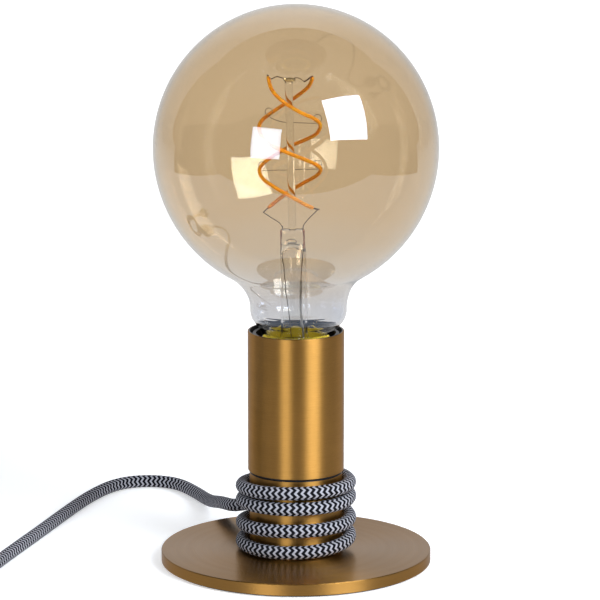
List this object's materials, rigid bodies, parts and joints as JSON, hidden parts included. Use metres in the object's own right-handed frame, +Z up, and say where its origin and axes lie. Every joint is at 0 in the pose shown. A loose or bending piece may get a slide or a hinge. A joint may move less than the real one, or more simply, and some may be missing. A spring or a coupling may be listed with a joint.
{
  "type": "bare bulb table lamp",
  "caption": "Small table lamp with a flat round base, a brass stem wound with textile cord, a brass cup and a large bare globe bulb with spiral filaments.",
  "frame": {"origin": "centre of the underside of the pad under the base disc, on the surface that the lamp stands on", "axes": "+Z up along the axis of base, stem, cup and bulb; -Y is the side seen in the picture and +X its right-hand side; the cord lies at -X"},
  "size_m": [0.342, 0.1957, 0.2487],
  "materials": {
    "brass_satin": "satin, fine circular brushing",
    "pad_foam": "fine foam",
    "zinc_steel": "zinc plated",
    "black_fibre": "matte",
    "holder_black": "moulded, semi gloss",
    "holder_core": "unglazed",
    "contact_brass": "stamped",
    "shell_metal": "rolled",
    "lead_brown": "smooth",
    "lead_blue": "smooth",
    "glass_amber": "clear, amber tint that fades at the neck",
    "glass_clear": "clear",
    "cap_nickel": "plated, rolled thread",
    "tip_solder": "dull",
    "cement": "rough, yellowish",
    "insulator_black": "glossy",
    "filament_orange": "soft coating over the chips",
    "wire_metal": "drawn wire",
    "seal_copper": "coppered wire",
    "board_green": "populated board",
    "cord_textile": "braided chevron, black and pale",
    "switch_black": "moulded, fine grain",
    "rocker_black": "moulded, smooth",
    "plug_black": "moulded, fine grain",
    "pin_nickel": "plated"
  },
  "bodies": {
    "lamp": {"base_plate": "brass_satin", "stem_tube": "brass_satin", "lamp_cup": "brass_satin", "base_pad": "pad_foam", "stem_foot": "zinc_steel", "stem_screws": "zinc_steel", "nipple": "zinc_steel", "nipple_nut": "zinc_steel", "lock_washer": "zinc_steel", "holder_grub": "zinc_steel", "terminal_screws": "zinc_steel", "rocker_pin": "zinc_steel", "cup_washer": "black_fibre", "cord_bush": "black_fibre", "cord_clamp": "black_fibre", "holder_dome": "holder_black", "holder_skirt": "holder_black", "holder_core": "holder_core", "centre_contact": "contact_brass", "side_contact": "contact_brass", "terminals": "contact_brass", "switch_contacts": "contact_brass", "thread_shell": "shell_metal", "lead_live": "lead_brown", "lead_neutral": "lead_blue", "cord_winding": "cord_textile", "cord_lead": "cord_textile", "cord_tail": "cord_textile", "cord_coil": "cord_textile", "cord_end": "cord_textile", "inner_cord": "cord_textile", "switch_base": "switch_black", "switch_cover": "switch_black", "pin_posts": "switch_black", "plug_body": "plug_black", "plug_relief": "plug_black", "plug_pins": "pin_nickel"},
    "bulb_tip": {"bulb_tip": "tip_solder"},
    "bulb": {"bulb_globe": "glass_amber", "bulb_cap": "cap_nickel", "bulb_cement": "cement", "bulb_insulator": "insulator_black", "glass_stem": "glass_clear", "support_rod": "glass_clear", "rod_bead": "glass_clear", "filament_left": "filament_orange", "filament_right": "filament_orange", "filament_wires": "wire_metal", "hook_wires": "wire_metal", "seal_leads": "seal_copper", "driver_board": "board_green"},
    "rocker": {"switch_rocker": "rocker_black"}
  },
  "joints": [
    {"name": "bulb_lift", "type": "slide", "parent": "lamp", "child": "bulb_tip", "axis": [0, 0, 1], "range_m": [0, 0.0255]},
    {"name": "bulb_turn", "type": "hinge", "parent": "bulb_tip", "child": "bulb", "pos_m": [0, 0, 0.0737], "axis": [0, 0, 1], "range_deg": [0, 2520]},
    {"name": "rocker_turn", "type": "hinge", "parent": "lamp", "child": "rocker", "pos_m": [-0.1921, 0.022, 0.0133], "axis": [-1, 0, 0], "range_deg": [0, 14]}
  ],
  "couplings": [
    {"joint": "bulb_lift", "follows": "bulb_turn", "m_per_rad": 0.00057757}
  ]
}
